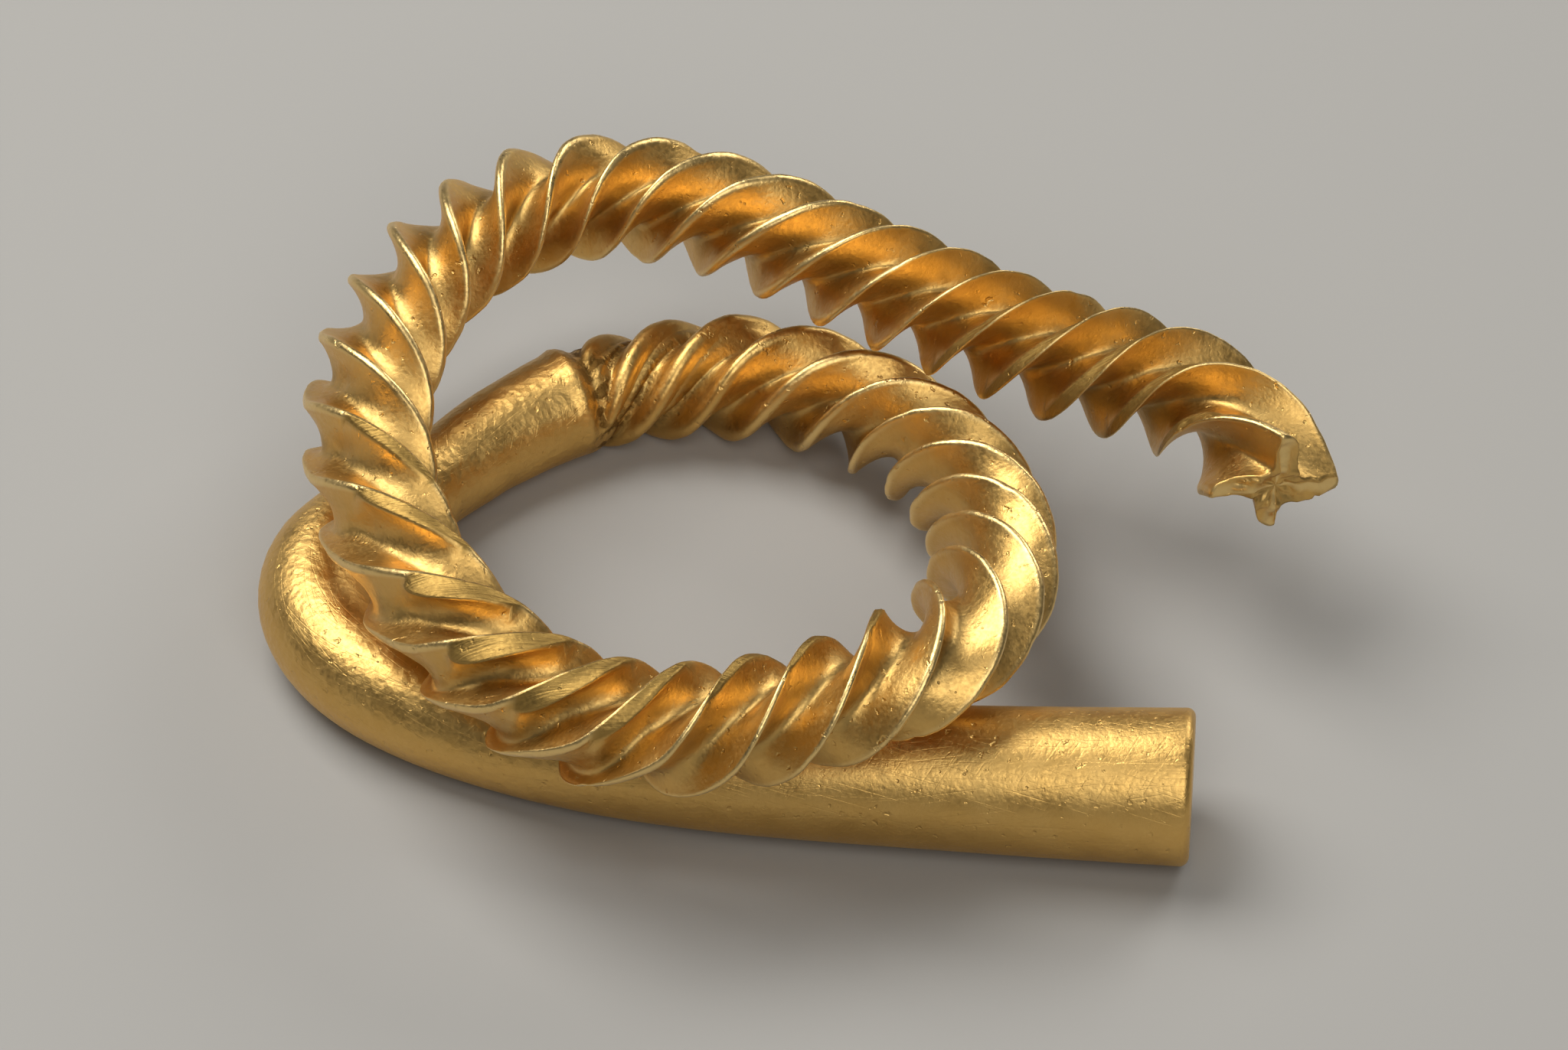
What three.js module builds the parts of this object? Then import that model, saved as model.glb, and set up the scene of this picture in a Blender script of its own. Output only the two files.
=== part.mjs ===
// A bar torc of solid gold, sprung out of shape and broken at one end. One bar
// runs from a plain round terminal, through a bend and a thinner neck, into a
// shaft of four flanges twisted into a left-handed screw, which is coiled up
// over its own start. The coil lies flat: +Z up, the ground at z = 0.

import * as THREE from 'three';

// Driving sizes, in millimetres
const coilWidth = 80; // across the coil, from its bend to its broken end
const terminalRadius = 5.85; // the plain rod at its flat-cut end
const crossingRadius = 5.2; // the rod where the coiled shaft lies over it
const bendRadius = 4.3; // the rod in its U-bend
const neckRadius = 3.6; // the thinnest place, just before the flanges
const flangeReach = 4.9; // the axis to a flange's edge, half the shaft's thickness
const flangeThickness = 1.2; // at the edge
const flangeRoot = 2.0; // at its middle height, where it starts to spread into the core
const valleyRadius = 1.95; // the axis to the bottom of a valley
const endRounding = 0.7; // worn rim of the flat-cut end
const layerGap = 0.6; // the bar's two layers stand this far apart
const restFlat = 0.1; // how far the rod's worn underside is flattened

// Places along the bar, in millimetres from its flat-cut end
const crossingAt = 24;
const bendAt = 52;
const bendEndAt = 78;
const neckAt = 92;
const twistStart = 104.7;
const fullFlangesAt = 116;
const lostEnd = 1.5; // length missing at the broken end
const flangesRise = 2; // the flanges begin to rise this far before the twist

// How tightly the shaft is twisted, at even steps from its start to its end: the
// degrees that it turns in a length equal to its own thickness
const terminalTurn = 90;
const twists = [-198, -138, -152, -124, -134, -184, -140, -82, -122, -148, -172, -170, -192, -201, -108];

// How high the bar's underside is where it lies on another stretch of itself
const onGround = -restFlat;
const onRod = 2 * crossingRadius + layerGap;
const onBend = 2 * bendRadius + layerGap;
const onTurn = 2 * flangeReach + layerGap;

// The pose: how the bar was bent, as points that pull its centre line into shape,
// in order from the flat-cut end. Each is x and y, in coil widths, and the
// height of the bar's underside.
const pose = [
  [0.374, -0.439, onGround],
  [0.231, -0.428, onGround],
  [0.099, -0.415, onGround],
  [-0.035, -0.403, onGround],
  [-0.168, -0.38, onGround],
  [-0.292, -0.338, onGround],
  [-0.416, -0.261, onGround],
  [-0.464, -0.129, onGround],
  [-0.366, -0.02, onGround],
  [-0.277, 0.079, onGround],
  [-0.163, 0.15, onGround],
  [-0.02, 0.154, onGround],
  [0.098, 0.082, 0.07 * onRod],
  [0.168, -0.034, 0.26 * onRod],
  [0.2, -0.16, 0.49 * onRod],
  [0.193, -0.291, 0.79 * onRod],
  [0.141, -0.417, 1.07 * onRod],
  [0.016, -0.472, 0.95 * onRod],
  [-0.125, -0.484, 0.99 * onBend],
  [-0.245, -0.429, 1.02 * onBend],
  [-0.325, -0.311, 1.02 * onBend],
  [-0.378, -0.189, 1.01 * onBend],
  [-0.399, -0.055, 0.91 * onTurn],
  [-0.38, 0.079, 0.95 * onTurn],
  [-0.318, 0.201, onTurn],
  [-0.195, 0.279, 1.01 * onTurn],
  [-0.061, 0.242, 1.01 * onTurn],
  [0.049, 0.161, 1.01 * onTurn],
  [0.161, 0.09, 0.99 * onTurn],
  [0.273, 0.02, 0.95 * onTurn],
  [0.416, -0.021, 0.95 * onTurn],
  [0.471, -0.18, 0.9 * onTurn],
];

// Fineness of the mesh
const flanges = 4;
const pointsPerFlange = 5;
const flangeMiddle = 0.62; // of the flange's reach
const brokenCore = 0.8; // of the valley's radius
const rodStep = 3.2;
const shaftStep = 1.9;
const twistStep = 0.25; // for adding up the turn along the shaft

class Pose extends THREE.Curve {
  // A uniform cubic B-spline through the pull points, ends included
  getPoint(t, target = new THREE.Vector3()) {
    const last = pose.length - 1;
    const along = t * last;
    const i = Math.min(Math.floor(along), last - 1);
    const f = along - i;
    const weights = [
      (1 - f) ** 3 / 6,
      (3 * f ** 3 - 6 * f ** 2 + 4) / 6,
      (-3 * f ** 3 + 3 * f ** 2 + 3 * f + 1) / 6,
      f ** 3 / 6,
    ];
    target.set(0, 0, 0);
    weights.forEach((weight, k) => target.addScaledVector(pullPoint(i - 1 + k), weight));
    return target;
  }
}

function pullPoint(i) {
  // Past each end the points go on in a straight line
  const last = pose.length - 1;
  if (i < 0) return pullPoint(0).multiplyScalar(2).sub(pullPoint(1));
  if (i > last) return pullPoint(last).multiplyScalar(2).sub(pullPoint(last - 1));
  const [x, y, height] = pose[i];
  return new THREE.Vector3(x * coilWidth, y * coilWidth, height);
}

function between(stations, s) {
  // Straight-line reading of a list of [place, value] pairs
  const next = stations.findIndex(([place]) => place >= s);
  if (next === 0) return stations[0][1];
  if (next < 0) return stations[stations.length - 1][1];
  const [s0, v0] = stations[next - 1];
  const [s1, v1] = stations[next];
  return THREE.MathUtils.mapLinear(s, s0, s1, v0, v1);
}

const underside = new Pose();
underside.arcLengthDivisions = 1200;
const barLength = underside.getLength() - lostEnd;

const radii = [
  [0, terminalRadius],
  [crossingAt, crossingRadius],
  [bendAt, bendRadius],
  [bendEndAt, bendRadius],
  [neckAt, neckRadius],
  [fullFlangesAt, flangeReach],
];
const reachAt = (s) => between(radii, s);

// The turn of the shaft, added up along it
const twistSpacing = (underside.getLength() - twistStart) / (twists.length - 1);
const twistStations = twists.map((twist, i) => [twistStart + i * twistSpacing, twist / (2 * flangeReach)]);
const turns = [[twistStart, terminalTurn]];
for (let s = twistStart; s < barLength; s += twistStep) {
  const turned = turns[turns.length - 1][1];
  turns.push([s + twistStep, turned + between(twistStations, s + twistStep / 2) * twistStep]);
}

// One flange of the section, edge to valley, as shares of the flange's reach
function flangeOutline(reach) {
  const edge = flangeThickness / 2;
  const root = flangeRoot / 2;
  const valley = Math.min(valleyRadius, reach) * Math.SQRT1_2;
  return [
    [reach * flangeMiddle, -root],
    [reach, -edge],
    [reach, edge],
    [reach * flangeMiddle, root],
    [valley, valley],
  ];
}

function sectionPoint(k, s) {
  // Point k of the section at place s: round in the rod, star-shaped in the shaft
  const reach = reachAt(s);
  const even = ((k - (pointsPerFlange - 2) / 2) * 2 * Math.PI) / (flanges * pointsPerFlange);
  const round = new THREE.Vector2(reach * Math.cos(even), reach * Math.sin(even));
  const flange = Math.floor(k / pointsPerFlange);
  const star = new THREE.Vector2(...flangeOutline(reach)[k % pointsPerFlange]);
  star.rotateAround(new THREE.Vector2(), (flange * 2 * Math.PI) / flanges);
  return round.lerp(star, THREE.MathUtils.smoothstep(s, twistStart - flangesRise, fullFlangesAt));
}

// The rings that the bar's skin runs through, from the flat-cut end to the break
const rings = [
  { s: 0, inset: endRounding },
  { s: endRounding * 0.3, inset: endRounding * 0.3 },
  { s: endRounding, inset: 0 },
];
for (let s = rodStep; s < twistStart; s += rodStep) rings.push({ s, inset: 0 });
const shaftRings = Math.round((barLength - twistStart) / shaftStep);
for (let i = 0; i <= shaftRings; i += 1) {
  rings.push({ s: THREE.MathUtils.mapLinear(i, 0, shaftRings, twistStart, barLength), inset: 0 });
}
rings.push({ s: barLength, core: true });

function skinPoint(k, ring) {
  // Where point k of the section lies in space, on one ring
  const { s, inset, core } = ring;
  const t = s / underside.getLength();
  const place = underside.getPointAt(t);
  const ahead = underside.getTangentAt(t);
  const up = new THREE.Vector3(0, 0, 1).addScaledVector(ahead, -ahead.z).normalize();
  const side = new THREE.Vector3().crossVectors(ahead, up);
  const point = sectionPoint(k, s);
  if (core) point.setLength(valleyRadius * brokenCore);
  if (inset) point.setLength(point.length() - inset);
  point.rotateAround(new THREE.Vector2(), THREE.MathUtils.degToRad(between(turns, s)));
  place.z += reachAt(s);
  place.addScaledVector(up, point.x).addScaledVector(side, point.y);
  place.z = Math.max(place.z, 0);
  return place;
}

function makeTorc() {
  // A straight prism with one step for each ring, each corner of which is then
  // moved to its point of the bar's skin
  const corners = flanges * pointsPerFlange;
  const cornerAngle = (2 * Math.PI) / corners;
  const cornerAt = (_, k) => new THREE.Vector2(1, 0).rotateAround(new THREE.Vector2(), k * cornerAngle);
  const outline = new THREE.Shape(Array.from({ length: corners }, cornerAt));
  const steps = rings.length - 1;
  const skin = new THREE.ExtrudeGeometry(outline, { depth: steps, steps, bevelEnabled: false });
  const position = skin.attributes.position;
  for (let i = 0; i < position.count; i += 1) {
    const angle = Math.atan2(position.getY(i), position.getX(i));
    const k = (Math.round(angle / cornerAngle) + corners) % corners;
    const point = skinPoint(k, rings[Math.round(position.getZ(i))]);
    position.setXYZ(i, point.x, point.y, point.z);
  }
  skin.computeVertexNormals();
  const gold = new THREE.MeshStandardMaterial({ color: 0xc79a3c, roughness: 0.4, metalness: 1 });
  const torc = new THREE.Mesh(skin, gold);
  torc.name = 'torc';
  // The origin is on the ground, under the middle of the coil
  skin.computeBoundingBox();
  const middle = skin.boundingBox.getCenter(new THREE.Vector3());
  torc.position.set(-middle.x, -middle.y, 0);
  return torc;
}

const group = new THREE.Group();
group.add(makeTorc());
export default group;
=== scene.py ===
import math
from bisect import bisect_right

import bmesh
import bpy
from mathutils import Matrix, Vector, noise


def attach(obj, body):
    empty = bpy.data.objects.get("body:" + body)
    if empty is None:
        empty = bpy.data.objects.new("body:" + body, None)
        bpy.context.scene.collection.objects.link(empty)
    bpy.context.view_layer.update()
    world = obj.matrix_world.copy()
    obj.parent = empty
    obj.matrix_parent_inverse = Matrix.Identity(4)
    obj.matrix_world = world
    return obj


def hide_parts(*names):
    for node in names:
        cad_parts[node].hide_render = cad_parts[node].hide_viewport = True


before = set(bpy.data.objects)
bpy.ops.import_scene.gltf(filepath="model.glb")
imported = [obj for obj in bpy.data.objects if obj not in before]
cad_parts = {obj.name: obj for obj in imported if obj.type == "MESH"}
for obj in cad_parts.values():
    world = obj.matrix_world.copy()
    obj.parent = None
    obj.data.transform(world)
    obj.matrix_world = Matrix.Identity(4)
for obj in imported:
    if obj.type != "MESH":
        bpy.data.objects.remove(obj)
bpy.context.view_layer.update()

# The coiled bar
# One rod of solid gold alloy, bent cold into a U and coiled up over its own start. Its
# centre line is drawn by points that pull it into shape: x and y in coil widths, and the
# height of the bar's underside in millimetres, from the flat-cut end to the break.
MM = 0.001
COIL_WIDTH = 80.0
TERMINAL_RADIUS = 5.85
CROSSING_RADIUS = 5.2
BEND_RADIUS = 4.3
NECK_RADIUS = 3.6
FLANGE_REACH = 4.9
CROSSING_AT = 24.0
BEND_AT = 52.0
BEND_END_AT = 78.0
NECK_AT = 92.0
TWIST_START = 104.7
FULL_FLANGES_AT = 116.0
LAYER_GAP = 0.6
REST_FLAT = 0.1
ON_GROUND = -REST_FLAT
ON_ROD = 2 * CROSSING_RADIUS + LAYER_GAP
ON_BEND = 2 * BEND_RADIUS + LAYER_GAP
ON_TURN = 2 * FLANGE_REACH + LAYER_GAP
POSE = [
    (0.374, -0.439, ON_GROUND),
    (0.231, -0.428, ON_GROUND),
    (0.099, -0.415, ON_GROUND),
    (-0.035, -0.403, ON_GROUND),
    (-0.168, -0.38, ON_GROUND),
    (-0.292, -0.338, ON_GROUND),
    (-0.416, -0.261, ON_GROUND),
    (-0.464, -0.129, ON_GROUND),
    (-0.366, -0.02, ON_GROUND),
    (-0.277, 0.079, ON_GROUND),
    (-0.163, 0.15, ON_GROUND),
    (-0.02, 0.154, ON_GROUND),
    (0.098, 0.082, 0.07 * ON_ROD),
    (0.168, -0.034, 0.26 * ON_ROD),
    (0.2, -0.16, 0.49 * ON_ROD),
    (0.193, -0.291, 0.79 * ON_ROD),
    (0.141, -0.417, 1.07 * ON_ROD),
    (0.016, -0.472, 0.95 * ON_ROD),
    (-0.125, -0.484, 0.99 * ON_BEND),
    (-0.245, -0.429, 1.02 * ON_BEND),
    (-0.325, -0.311, 1.02 * ON_BEND),
    (-0.378, -0.189, 1.01 * ON_BEND),
    (-0.399, -0.055, 0.91 * ON_TURN),
    (-0.38, 0.079, 0.95 * ON_TURN),
    (-0.318, 0.201, ON_TURN),
    (-0.195, 0.279, 1.01 * ON_TURN),
    (-0.061, 0.242, 1.01 * ON_TURN),
    (0.049, 0.161, 1.01 * ON_TURN),
    (0.161, 0.09, 0.99 * ON_TURN),
    (0.273, 0.02, 0.95 * ON_TURN),
    (0.416, -0.021, 0.95 * ON_TURN),
    (0.471, -0.18, 0.9 * ON_TURN),
]
POSE_MIDDLE = Vector((0.978, -8.668, 0.0))
POSE_SAMPLES = 3200


def pull_point(i):
    last = len(POSE) - 1
    if i < 0:
        return 2 * pull_point(0) - pull_point(1)
    if i > last:
        return 2 * pull_point(last) - pull_point(last - 1)
    x, y, height = POSE[i]
    return Vector((x * COIL_WIDTH, y * COIL_WIDTH, height))


def pose_point(along):
    # A uniform cubic B-spline through the pull points, ends included
    i = min(int(along), len(POSE) - 2)
    f = along - i
    weights = ((1 - f) ** 3, 3 * f**3 - 6 * f**2 + 4, -3 * f**3 + 3 * f**2 + 3 * f + 1, f**3)
    place = Vector()
    for k, weight in enumerate(weights):
        place += pull_point(i - 1 + k) * weight / 6
    return place


undersides = [pose_point(k / POSE_SAMPLES * (len(POSE) - 1)) for k in range(POSE_SAMPLES + 1)]
distances = [0.0]
for before, after in zip(undersides, undersides[1:]):
    distances.append(distances[-1] + (after - before).length)
BAR_LENGTH = distances[-1]


def underside(s):
    i = min(max(bisect_right(distances, s) - 1, 0), POSE_SAMPLES - 1)
    share = (s - distances[i]) / (distances[i + 1] - distances[i])
    return undersides[i].lerp(undersides[i + 1], share)


def smooth(low, high, value):
    t = min(max((value - low) / (high - low), 0.0), 1.0)
    return t * t * (3 - 2 * t)


def reading(stations, s):
    # Straight-line reading of a list of (place, value) pairs
    for (s0, v0), (s1, v1) in zip(stations, stations[1:]):
        if s <= s1:
            return v0 + (v1 - v0) * max((s - s0) / (s1 - s0), 0.0)
    return stations[-1][1]


REACHES = [
    (0.0, TERMINAL_RADIUS),
    (CROSSING_AT, CROSSING_RADIUS),
    (BEND_AT, BEND_RADIUS),
    (BEND_END_AT, BEND_RADIUS),
    (NECK_AT, NECK_RADIUS),
    (FULL_FLANGES_AT, FLANGE_REACH),
]

# The twist
# The far two thirds of the bar were hammered or cut into four flanges, and twisted
# left-handed while the bar was held straight. How tightly it is twisted is given at even
# steps along the shaft, in degrees for a length equal to the shaft's own thickness.
TERMINAL_TURN = 90.0
TWISTS = [-198, -138, -152, -124, -134, -184, -140, -82, -122, -148, -172, -170, -190, -180, -72]
TWIST_SPACING = 16.305
TWIST_STEP = 0.25
twist_rates = [(TWIST_START + i * TWIST_SPACING, t / (2 * FLANGE_REACH)) for i, t in enumerate(TWISTS)]
turn_sums = [TERMINAL_TURN]
while len(turn_sums) * TWIST_STEP < BAR_LENGTH - TWIST_START + 4:
    here = TWIST_START + (len(turn_sums) - 0.5) * TWIST_STEP
    turn_sums.append(turn_sums[-1] + reading(twist_rates, here) * TWIST_STEP)


def turn_at(s):
    steps = max((s - TWIST_START) / TWIST_STEP, 0.0)
    i = min(int(steps), len(turn_sums) - 2)
    return math.radians(turn_sums[i] + (turn_sums[i + 1] - turn_sums[i]) * min(steps - i, 1.0))


# The flanges
# Four blades round a core, with hollow valleys between them, cut or hammered from the
# solid bar. They are thin in the tight turn, fat and rounded where they start and along
# the back, lean one way or the other, and have flattened facets at the front and the end.
FLANGES = 4
BLADE_POINTS = 33
BLADE_MIDDLE = (BLADE_POINTS - 1) // 2
EDGE_POINTS = 4
FACET_POINTS = 8
VALLEY = 2.05
# A blade is at least this tall, flares out from this far beside its middle plane, and is
# this much fatter on its inner side
LEAST_HEIGHT = 1.0
ASIDE = 0.25
GENTLE = 0.3
# Each list of pairs holds places along the bar and, in millimetres, how far a valley is
# from the axis, half a blade's thickness near its edge, how far down the edge's rounding
# goes, and how far the edge leans to the outer side of an upright blade
VALLEYS = [(104, 3.3), (112, 3.0), (126, VALLEY), (296, VALLEY), (306, 1.9)]
HALF_EDGES = [(104, 1.6), (112, 1.4), (122, 0.95), (134, 0.48), (180, 0.38), (200, 0.42),
              (240, 0.48), (257, 0.72), (288, 0.78), (300, 0.45), (327, 0.4), (333, 0.8)]
EDGE_DROPS = [(104, 1.5), (114, 1.2), (124, 0.6), (140, 0.25), (240, 0.25), (258, 0.6), (288, 0.6),
              (300, 0.25), (327, 0.25), (333, 0.6)]
LEANS = [(104, 0.0), (120, 0.3), (140, 0.5), (172, 0.5), (186, -0.1), (200, -0.35), (245, -0.35),
         (258, 0.2), (268, 0.55), (282, 0.5), (292, -0.7), (302, -1.3), (336, -1.3)]
# Each facet, on the outer side of an upright blade: its place along the bar, its flange,
# half its length, its width and its depth
FACETS = [
    (173.0, 3, 4.0, 0.9, 0.3),
    (179.5, 0, 4.0, 0.9, 0.3),
    (185.5, 1, 4.0, 1.0, 0.35),
    (193.6, 2, 3.2, 1.6, 0.35),
    (199.0, 3, 3.4, 2.3, 0.5),
    (204.9, 0, 3.4, 2.6, 0.6),
    (211.6, 1, 3.6, 2.3, 0.5),
    (220.6, 2, 4.4, 1.3, 0.3),
    (229.0, 3, 3.6, 0.9, 0.4),
    (304.7, 1, 3.0, 0.9, 0.3),
    (309.3, 2, 3.2, 1.1, 0.4),
    (314.0, 3, 3.4, 1.3, 0.5),
    (319.0, 0, 3.6, 1.3, 0.5),
    (324.5, 1, 3.4, 1.1, 0.4),
]
FACET_FADE = 4
LIP_DROP = 0.12
LIP_FROM = 0.7
# Where the shaft rests on the bend and on the lower turn, the blades that point out and
# down are pushed along the bar, and the valleys between them are filled
RESTING_FROM = 186.0
RESTING_FULL = (198.0, 238.0)
RESTING_TO = 252.0
PUSHED = 3.0
FILLED = 1.5
# One flange is worn down at the break
WORN_FLANGE = 3
WORN_LOSS = 1.0
WORN_FROM = BAR_LENGTH - 7
WORN_TO = BAR_LENGTH - 3


def facet_at(flange, s):
    # How far the facet here has opened, and its width and depth
    for place, cut_flange, half, width, depth in FACETS:
        if flange == cut_flange and abs(s - place) < half:
            opened = math.sqrt(1 - ((s - place) / half) ** 2)
            return opened, width * opened, depth * opened
    return 0.0, 0.0, 0.0


def flank(a, valley):
    # Half the blade's thickness at height a: it flares into the core like a hyperbola
    return ASIDE + (valley - ASIDE) ** 2 / (a - ASIDE)


def resting(s):
    # How much the shaft here rests on the stretch below it
    return smooth(RESTING_FROM, RESTING_FULL[0], s) * smooth(RESTING_TO, RESTING_FULL[1], s)


def outward_turn(quarters, s):
    # The angle from straight up, over the coil's outside, to a direction of the section
    quarter = math.pi / 2
    return (quarter - turn_at(s) - quarters * quarter) % (4 * quarter) - quarter


def pushed_at(flange, s):
    # How far a blade's edge is pushed along the bar
    turned = outward_turn(flange, s)
    return PUSHED * resting(s) * smooth(1.2, 2.2, turned) * smooth(4.6, 2.4, turned)


def valley_at(offset, flange, s, reach):
    # How far the bottom of the valley beside a blade is from the blade's own middle plane
    turned = outward_turn(flange + math.copysign(0.5, offset), s)
    filled = FILLED * resting(s) * smooth(1.0, 1.8, turned) * smooth(3.6, 2.5, turned)
    return min(reading(VALLEYS, s) + filled, reach - LEAST_HEIGHT) * math.sqrt(0.5)


def facet_cut(i, reach, valley, width, depth):
    # Where point i lies once a facet has cut its blade: on the flat, at its lip, or on the
    # flank below, which it joins gradually
    if i <= FACET_POINTS:
        share = i / FACET_POINTS
        return reach - depth * share - LIP_DROP * smooth(LIP_FROM, 1.0, share), width * share
    fade = (i - FACET_POINTS) / (BLADE_MIDDLE + 0.5 - FACET_POINTS)
    lip = reach - depth - LIP_DROP
    a = lip + (valley - lip) * fade
    return a, flank(a, valley) + (width - flank(reach - depth, valley)) * (1 - fade) ** FACET_FADE


def blade_point(offset, flange, s, reach):
    # One point of a blade's outline, counted from its edge, with its height on the blade
    # from valley to edge and how flat a facet has made it
    if flange == WORN_FLANGE:
        reach -= WORN_LOSS * smooth(WORN_FROM, WORN_TO, s)
    i = abs(offset)
    valley = valley_at(offset, flange, s, reach)
    half = reading(HALF_EDGES, s)
    drop = reading(EDGE_DROPS, s)
    shoulder = reach - drop
    if i <= EDGE_POINTS:
        t = i / EDGE_POINTS * math.pi / 2
        a = reach - drop * (1 - math.cos(t))
        b = half * math.sin(t)
    else:
        share = (i - EDGE_POINTS) / (BLADE_MIDDLE + 0.5 - EDGE_POINTS)
        close = (valley - ASIDE) / (shoulder - ASIDE)
        a = ASIDE + (shoulder - ASIDE) * 0.5 * (close**share + 1 + (close - 1) * share)
        height = (a - valley) / (shoulder - valley)
        b = flank(a, valley) + (half - flank(shoulder, valley)) * height
        if offset > 0:
            b += GENTLE * 4 * height * (1 - height)
    flat = 0.0
    opened, width, depth = facet_at(flange, s)
    if offset <= 0 and opened > 0:
        cut_a, cut_b = facet_cut(i, reach, valley, width, depth)
        cut = smooth(0.0, 0.5, opened)
        a += (cut_a - a) * cut
        b += (cut_b - b) * cut
        flat = cut * smooth(FACET_POINTS + 1, FACET_POINTS - 1, i)
    b = math.copysign(b, offset)
    height = max((a - valley) / (reach - valley), 0.0)
    return Vector((a, b - reading(LEANS, s) * height**2)), height, flat


# The skin of the bar
# A plain rod with a worn, flat-cut end, hammered round its bend and dented at its neck,
# ends in a rim and a groove. The blades rise from there, nicked and a little uneven, up to
# the break. The skin is laid out as a flat grid, rolled up, and each point is then moved
# to its place.
ROD_STEP = 1.0
SHAFT_STEP = 0.38
FINE_FROM = 99.0
RIM_WEAR = 0.7
RIM_STEPS = 6
RIM_AT = 103.2
RIM_WIDTH = 0.45
RIM_HEIGHT = 0.2
GROOVE_AT = 104.6
GROOVE_WIDTH = 0.6
GROOVE_DEPTH = 0.6
SHAFT_RISE = (TWIST_START - 1.0, TWIST_START + 2.5)
HAMMERED_FROM = BEND_AT - 22
# Each kind of unevenness: its depth, its size and where in the noise it is read
HAMMER_DENTS = (0.03, 2.6, 1.7)
NECK_DENTS = (0.12, 3.2, 5.1)
EDGE_WAVES = (0.14, 6.0, 9.3)
VALLEY_WAVES = (0.16, 7.0, 4.4)
BUMPS = (0.07, 1.4, 2.2)
NICKS = (0.5, 1.6, 7.9)
NICK_FROM = 0.21
# The break: its rings are squeezed between these two places, each blade ends at its own,
# and the torn face is hollow in its middle and rough
BREAK_FROM = BAR_LENGTH - 11
CORE_END = BAR_LENGTH - 2.6
FLANGE_ENDS = (0.0, -0.4, -0.9, -0.5)
HOLLOW = 0.5
TORN_ROUGH = 0.25
BREAK_STEPS = 14
TIP = 0.02
COLUMNS = FLANGES * BLADE_POINTS
MERGED = 0.01
AHEAD_STEP = 0.4

ring_places = [RIM_WEAR * (1 - math.cos(math.pi / 2 * i / RIM_STEPS)) for i in range(RIM_STEPS)]
rod_rings = round((FINE_FROM - RIM_WEAR) / ROD_STEP)
ring_places += [RIM_WEAR + (FINE_FROM - RIM_WEAR) * i / rod_rings for i in range(rod_rings)]
shaft_rings = round((BAR_LENGTH - FINE_FROM) / SHAFT_STEP)
ring_places += [FINE_FROM + (BAR_LENGTH - FINE_FROM) * i / shaft_rings for i in range(shaft_rings + 1)]
whole_rings = len(ring_places)
ring_places += [BAR_LENGTH] * BREAK_STEPS


def ring_frame(s):
    place = underside(s)
    ahead = (underside(s + AHEAD_STEP) - underside(s - AHEAD_STEP)).normalized()
    up = (Vector((0, 0, 1)) - ahead * ahead.z).normalized()
    side = ahead.cross(up)
    return place, ahead, up, side


def bell(middle, width, s):
    return math.exp(-(((s - middle) / width) ** 2))


def uneven(place, depth, size, seed):
    return depth * noise.noise(place / size + Vector((seed, 0, 0)))


def wear(place, s, rise, height):
    # How far the skin stands out here: hammered and dented rod, lumpy and nicked shaft
    rod = 1 - rise
    worn = smooth(HAMMERED_FROM, BEND_AT, s) * rod * uneven(place, *HAMMER_DENTS)
    worn += smooth(BEND_END_AT, NECK_AT, s) * rod * uneven(place, *NECK_DENTS)
    worn += rise * (height * uneven(place, *EDGE_WAVES) + uneven(place, *BUMPS))
    worn += rise * (1 - height) * uneven(place, *VALLEY_WAVES)
    return worn - rise * height * max(uneven(place, *NICKS) - NICK_FROM, 0.0)


def skin_point(k, s, shrink):
    # Where point k of the ring at s lies, how high it is on its blade, how much the blades
    # have risen there and how flat a facet has made it. The rim and the groove before the
    # blades are on the upper side alone.
    reach = reading(REACHES, s)
    around = (k - BLADE_MIDDLE) * 2 * math.pi / COLUMNS
    on_top = smooth(-0.7, 0.5, math.cos(around + turn_at(s)))
    rim = RIM_HEIGHT * bell(RIM_AT, RIM_WIDTH, s) - GROOVE_DEPTH * bell(GROOVE_AT, GROOVE_WIDTH, s)
    round_reach = reach + on_top * rim
    point = Vector((round_reach * math.cos(around), round_reach * math.sin(around)))
    rise = smooth(*SHAFT_RISE, s)
    height = 0.0
    flat = 0.0
    push = 0.0
    if rise > 0:
        flange, column = divmod(k, BLADE_POINTS)
        star, height, flat = blade_point(column - BLADE_MIDDLE, flange, s, reach)
        star.rotate(Matrix.Rotation(flange * 2 * math.pi / FLANGES, 2))
        point = point.lerp(star, rise)
        push = pushed_at(flange, s) * height**2
    place, ahead, up, side = ring_frame(s)
    point.rotate(Matrix.Rotation(turn_at(s), 2))
    point *= shrink
    out = up * point.x + side * point.y
    co = place + Vector((0, 0, reach)) + out + ahead * push
    co += out.normalized() * wear(co, s, rise, height) * shrink
    return co, height * rise, rise, flat


def torn_at(k, shrink):
    # Where along the bar the break lies, at point k of the section drawn in by shrink
    flange, column = divmod(k, BLADE_POINTS)
    star = blade_point(column - BLADE_MIDDLE, flange, BREAK_FROM, FLANGE_REACH)[0] * shrink
    height = max((star.length - VALLEY) / (FLANGE_REACH - VALLEY), 0.0)
    torn = CORE_END + FLANGE_ENDS[flange] * smooth(0.0, 0.6, height)
    torn -= HOLLOW * smooth(1.0, 0.3, star.length / VALLEY)
    return torn + TORN_ROUGH * noise.noise(Vector((star.x, flange * 5.0, star.y * 2)))


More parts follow.
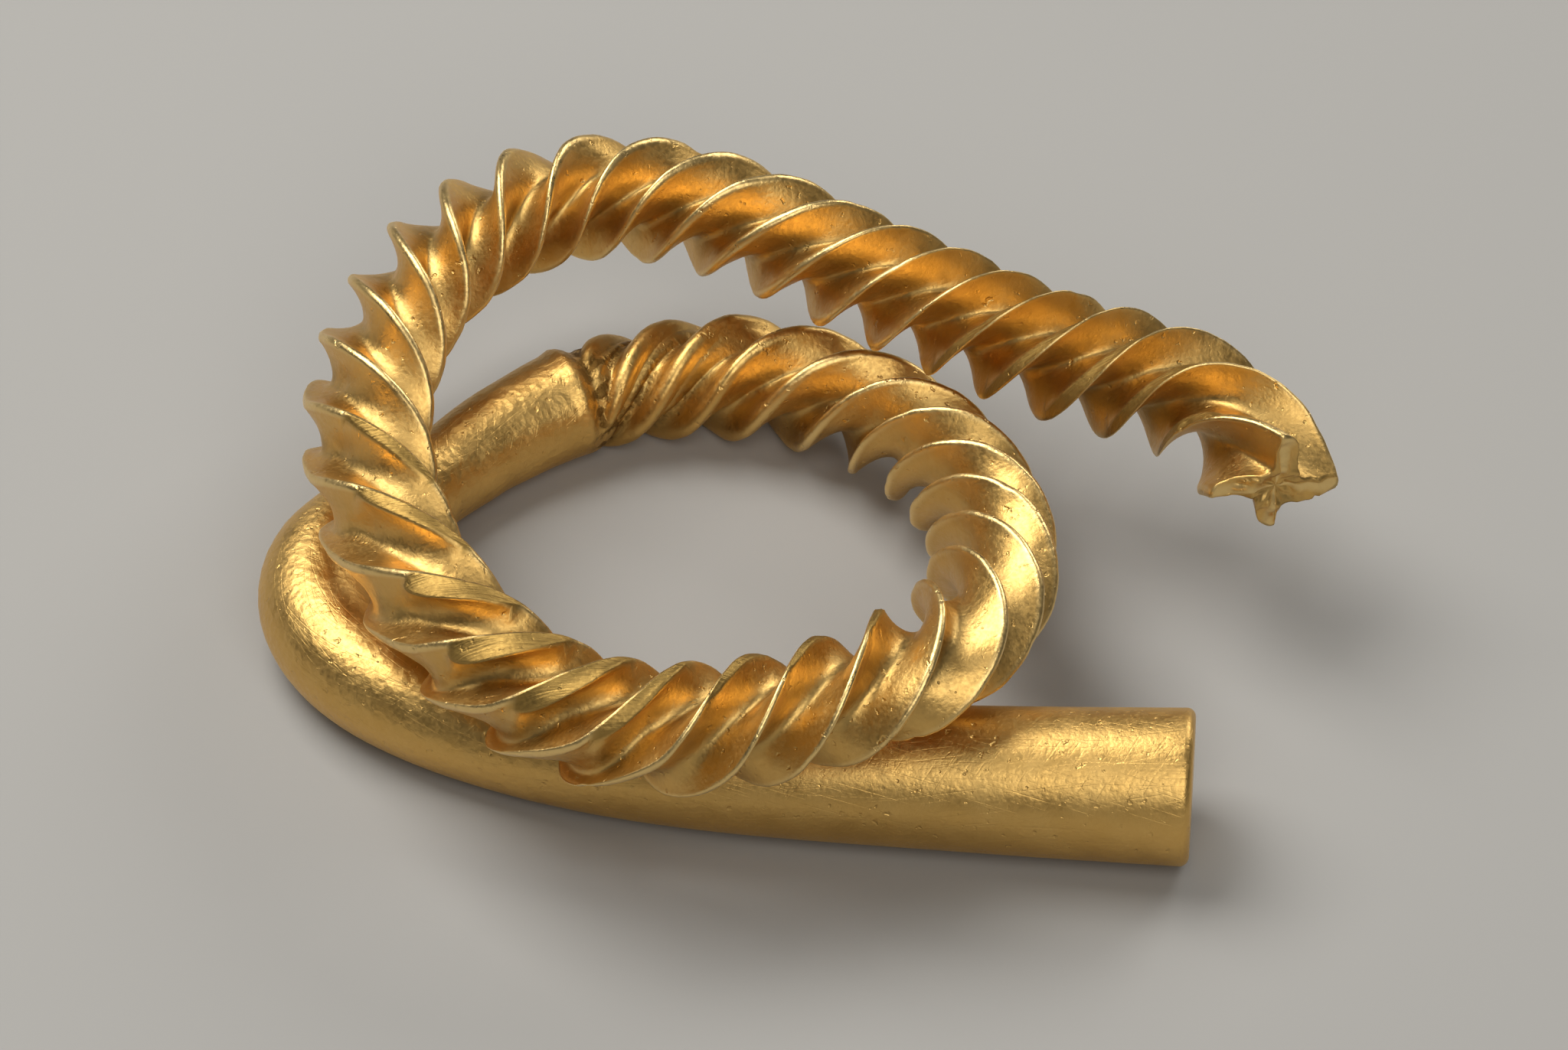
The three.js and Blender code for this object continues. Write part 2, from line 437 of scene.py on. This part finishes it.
bm = bmesh.new()
bm.loops.layers.uv.new("bar")
bmesh.ops.create_grid(bm, x_segments=len(ring_places) - 1, y_segments=COLUMNS, size=1, calc_uvs=True)
rise_layer = bm.verts.layers.float.new("rise")
shaft_layer = bm.verts.layers.float.new("shaft")
facet_layer = bm.verts.layers.float.new("facet")
place_layer = bm.verts.layers.float.new("place")
for v in bm.verts:
    ring = round((v.co.x + 1) / 2 * (len(ring_places) - 1))
    k = round((v.co.y + 1) / 2 * COLUMNS) % COLUMNS
    s = ring_places[ring]
    shrink = 1.0
    if ring < RIM_STEPS:
        slope = math.pi / 2 * ring / RIM_STEPS
        shrink = 1 - RIM_WEAR * (1 - math.sin(slope)) / TERMINAL_RADIUS
    if s > BREAK_FROM:
        shrink = 1 - (1 - TIP) * max(ring - whole_rings + 1, 0) / BREAK_STEPS
        squeezed = (torn_at(k, shrink) - BREAK_FROM) / (BAR_LENGTH - BREAK_FROM)
        s = BREAK_FROM + (s - BREAK_FROM) * squeezed
    co, height, rise, flat = skin_point(k, s, shrink)
    v[shaft_layer] = rise
    v[rise_layer] = height
    v[facet_layer] = flat
    v[place_layer] = s
    # The underside is worn flat where it lies on the ground
    co.z = max(co.z, 0.0)
    v.co = (co - POSE_MIDDLE) * MM
bmesh.ops.remove_doubles(bm, verts=bm.verts, dist=MERGED * MM)
bmesh.ops.holes_fill(bm, edges=[e for e in bm.edges if e.is_boundary], sides=0)
bmesh.ops.recalc_face_normals(bm, faces=bm.faces)
for face in bm.faces:
    face.smooth = len(face.verts) == 4
skin = bpy.data.meshes.new("torc_bar")
bm.to_mesh(skin)
bm.free()
torc = bpy.data.objects.new("torc_bar", skin)
bpy.context.collection.objects.link(torc)


# The gold
# An old gold alloy with some silver and copper: a warm yellow metal, satin from wear, with
# polished edges, fine scratches on the rod and file marks on the facets. Painted shade
# darkens it in patches down in the valleys, and brown dirt is left where the blades start.
WARM_GOLD = "#d8aa5c"
PALE_GOLD = "#e8c074"
# The darker gold of the painted shade down in the valleys
VALLEY_SHADE_GOLD = "#a98b52"
POLISHED_GOLD = "#efcd88"
FACET_GOLD = "#a58548"
DIRT = "#80602f"
GIRTH = 32.0
CRUST_START = 107.0
CRUST_END = 116.0
POLISHED_FULL = CRUST_END + 10
DIMPLED_FROM = BEND_AT - 20
# The patterns' sizes and depths in millimetres. The specks and scratches are drawn a little
# coarser than real ones, so that they show.
PATCH = 2.5
SPECK = 0.3
SPECK_DEPTH = 0.028
PIT = 0.7
PIT_DEPTH = 0.05
LUMP = 1.1
LUMP_DEPTH = 0.05
DIMPLE = 0.7
DIMPLE_DEPTH = 0.045
CRUMB = 0.8
CRUST_GRAIN = 0.4
CRUST_DEPTH = 0.09
SCRATCH_DEPTH = 0.007
FILE_MARK = (3.0, 0.2, 3.0)
FILE_ANGLE = 0.6
FILE_DEPTH = 0.07
# Each set of scratches: its angle on the unrolled rod, and a scratch's length and width
SCRATCHES = ((0.35, 5.0, 0.16), (-0.5, 4.0, 0.14), (1.3, 4.0, 0.16), (0.02, 12.0, 0.25))


def linear(hex_colour):
    channels = [int(hex_colour[i : i + 2], 16) / 255 for i in (1, 3, 5)]
    return [c / 12.92 if c <= 0.04045 else ((c + 0.055) / 1.055) ** 2.4 for c in channels] + [1.0]


gold = bpy.data.materials.new("worn_gold_alloy")
gold.use_nodes = True
tree = gold.node_tree
shader = tree.nodes["Principled BSDF"]


def add(kind, sockets, output=0, **properties):
    # A node of the gold. Each socket, by name or number, gets a constant or another node's
    # output. Map Range has its value at 0, its range at 1 and 2, and what it gives at 3 and 4.
    node = tree.nodes.new("ShaderNode" + kind)
    for name, value in properties.items():
        setattr(node, name, value)
    for name, value in sockets.items():
        if isinstance(value, bpy.types.NodeSocket):
            tree.links.new(value, node.inputs[name])
        else:
            node.inputs[name].default_value = value
    return node.outputs[output]


coords = tree.nodes.new("ShaderNodeTexCoord")
in_mm = add("Mapping", {"Vector": coords.outputs["Object"], "Scale": (1 / MM, 1 / MM, 1 / MM)})
unrolled = add("Mapping", {"Vector": coords.outputs["UV"], "Scale": (BAR_LENGTH, GIRTH, 1)})
rise = add("Attribute", {}, "Fac", attribute_name="rise")
shaft = add("Attribute", {}, "Fac", attribute_name="shaft")
facet = add("Attribute", {}, "Fac", attribute_name="facet")
place = add("Attribute", {}, "Fac", attribute_name="place")
rod = add("Math", {0: 1.0, 1: shaft}, operation="SUBTRACT")

# Where the gold gets painted shade in the valleys, is crusted and is polished
patches = add("TexNoise", {"Vector": in_mm, "Scale": 1 / PATCH, "Detail": 4.0})
specks = add("TexNoise", {"Vector": in_mm, "Scale": 1 / SPECK, "Detail": 4.0})
# Painted shade: the gold is darker low on the blades, down in the valleys, in patches
low = add("MapRange", {0: rise, 1: 0.75, 2: 0.0})
low = add("Math", {0: low, 1: shaft}, operation="MULTIPLY")
shade_patchiness = add("MapRange", {0: patches, 1: 0.4, 2: 0.62, 3: 0.15, 4: 0.8})
painted_valley_shade = add("Math", {0: low, 1: shade_patchiness}, operation="MULTIPLY")
past_rim = add("MapRange", {0: place, 1: RIM_AT, 2: GROOVE_AT})
near_start = add("MapRange", {0: place, 1: CRUST_END, 2: CRUST_START})
in_valley = add("MapRange", {0: rise, 1: 0.5, 2: 0.15})
crumbs = add("TexNoise", {"Vector": in_mm, "Scale": 1 / CRUMB, "Detail": 3.0})
crusted = add("MapRange", {0: crumbs, 1: 0.4, 2: 0.55})
for share in (near_start, in_valley, past_rim):
    crusted = add("Math", {0: crusted, 1: share}, operation="MULTIPLY")
edges = add("MapRange", {0: rise, 1: 0.86, 2: 1.0})
handled = add("MapRange", {0: place, 1: CRUST_END, 2: POLISHED_FULL})
polished = add("Math", {0: edges, 1: handled}, operation="MULTIPLY")

colour = add("Mix", {0: patches, 6: linear(WARM_GOLD), 7: linear(PALE_GOLD)}, 2, data_type="RGBA")
# The darker valley colour mixed in first is painted shade
for share, look in ((painted_valley_shade, VALLEY_SHADE_GOLD), (polished, POLISHED_GOLD), (facet, FACET_GOLD), (crusted, DIRT)):
    colour = add("Mix", {0: share, 6: colour, 7: linear(look)}, 2, data_type="RGBA")
tree.links.new(colour, shader.inputs["Base Color"])

rough = add("MapRange", {0: patches, 1: 0.3, 2: 0.7, 3: 0.36, 4: 0.46})
speckled = add("MapRange", {0: specks, 1: 0.35, 2: 0.65, 3: -0.06, 4: 0.06})
rough = add("Math", {0: rough, 1: speckled}, operation="ADD")
for share, change in ((crusted, 0.2), (polished, -0.06), (facet, 0.12)):
    rough = add("Math", {0: share, 1: change, 2: rough}, operation="MULTIPLY_ADD")
tree.links.new(rough, shader.inputs["Roughness"])

# The relief: specks, pits and lumps everywhere, scratches on the rod, file marks on the
# facets, hammer dimples on the bend and crumbs of dirt
pits = add("TexNoise", {"Vector": in_mm, "Scale": 1 / PIT, "Detail": 2.0})
pits = add("MapRange", {0: pits, 1: 0.66, 2: 0.76})
lumps = add("TexNoise", {"Vector": in_mm, "Scale": 1 / LUMP, "Detail": 2.0})
layers = [(specks, SPECK_DEPTH), (pits, -PIT_DEPTH), (lumps, LUMP_DEPTH)]
for angle, length, width in SCRATCHES:
    turned = add("Mapping", {"Vector": unrolled, "Rotation": (0, 0, angle)})
    drawn = add("Mapping", {"Vector": turned, "Scale": (1 / length, 1 / width, 1)})
    lines = add("TexNoise", {"Vector": drawn, "Scale": 1.0, "Detail": 1.0})
    lines = add("MapRange", {0: lines, 1: 0.62, 2: 0.72})
    scratched = add("Math", {0: lines, 1: rod}, operation="MULTIPLY")
    layers.append((scratched, -SCRATCH_DEPTH))
file_scale = tuple(1 / size for size in FILE_MARK)
filed = add("Mapping", {"Vector": in_mm, "Rotation": (0, 0, FILE_ANGLE), "Scale": file_scale})
filed = add("TexNoise", {"Vector": filed, "Scale": 1.0, "Detail": 2.0})
filed = add("Math", {0: filed, 1: facet}, operation="MULTIPLY")
dimpled = add("MapRange", {0: place, 1: DIMPLED_FROM, 2: BEND_AT})
dimpled = add("Math", {0: dimpled, 1: rod}, operation="MULTIPLY")
dimples = add("TexVoronoi", {"Vector": in_mm, "Scale": 1 / DIMPLE}, "Distance")
dimples = add("Math", {0: dimples, 1: dimpled}, operation="MULTIPLY")
crust = add("TexNoise", {"Vector": in_mm, "Scale": 1 / CRUST_GRAIN, "Detail": 4.0})
crust = add("Math", {0: crust, 1: crusted}, operation="MULTIPLY")
layers += [(filed, FILE_DEPTH), (dimples, DIMPLE_DEPTH), (crust, CRUST_DEPTH)]
relief = 0.0
for layer, depth in layers:
    relief = add("Math", {0: layer, 1: depth, 2: relief}, operation="MULTIPLY_ADD")
bump = add("Bump", {"Height": relief, "Strength": 1.0, "Distance": MM}, "Normal")
tree.links.new(bump, shader.inputs["Normal"])
shader.inputs["Metallic"].default_value = 1.0
skin.materials.append(gold)
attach(torc, "root")
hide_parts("torc")

# The table
# A plain pale surface under the torc, wide enough to fill every view.
bpy.ops.mesh.primitive_plane_add(size=4.0)
table = bpy.context.object
table.name = "table"
paper = bpy.data.materials.new("pale_paper")
paper.use_nodes = True
paper.node_tree.nodes["Principled BSDF"].inputs["Base Color"].default_value = linear("#a9a6a0")
paper.node_tree.nodes["Principled BSDF"].inputs["Roughness"].default_value = 0.9
table.data.materials.append(paper)

# The camera
# A long lens that looks down on the torc from the front, 42 degrees above the table.
IMAGE_WIDTH = 2048
FOCAL_PIXELS = 11000
SENSOR = 36.0
ELEVATION = math.radians(42)
DISTANCE = 0.647
lens = bpy.data.cameras.new("camera")
lens.sensor_width = SENSOR
lens.lens = FOCAL_PIXELS / IMAGE_WIDTH * SENSOR
camera = bpy.data.objects.new("camera", lens)
bpy.context.collection.objects.link(camera)
aim = -POSE_MIDDLE * MM
camera.location = aim + Vector((0, -math.cos(ELEVATION), math.sin(ELEVATION))) * DISTANCE
camera.rotation_euler = (math.pi / 2 - ELEVATION, 0, 0)
bpy.context.scene.camera = camera


# The light
# A large soft box over the back left, one in front and a small one behind on the right, in
# a dim grey room.
def soft_box(name, size, power, place):
    lamp = bpy.data.lights.new(name, "AREA")
    lamp.shape = "SQUARE"
    lamp.size = size
    lamp.energy = power
    box = bpy.data.objects.new(name, lamp)
    bpy.context.collection.objects.link(box)
    box.location = place
    box.rotation_euler = (-Vector(place)).to_track_quat("-Z", "Y").to_euler()


soft_box("key", 0.5, 4.3, (-0.3, 0.2, 0.58))
soft_box("fill", 0.5, 1.8, (0.1, -0.5, 0.5))
soft_box("back", 0.3, 1.2, (0.35, 0.45, 0.4))
room = bpy.data.worlds.new("room")
room.use_nodes = True
room.node_tree.nodes["Background"].inputs["Color"].default_value = linear("#8c8c8c")
room.node_tree.nodes["Background"].inputs["Strength"].default_value = 0.32
bpy.context.scene.world = room
bpy.context.scene.view_settings.view_transform = "Standard"
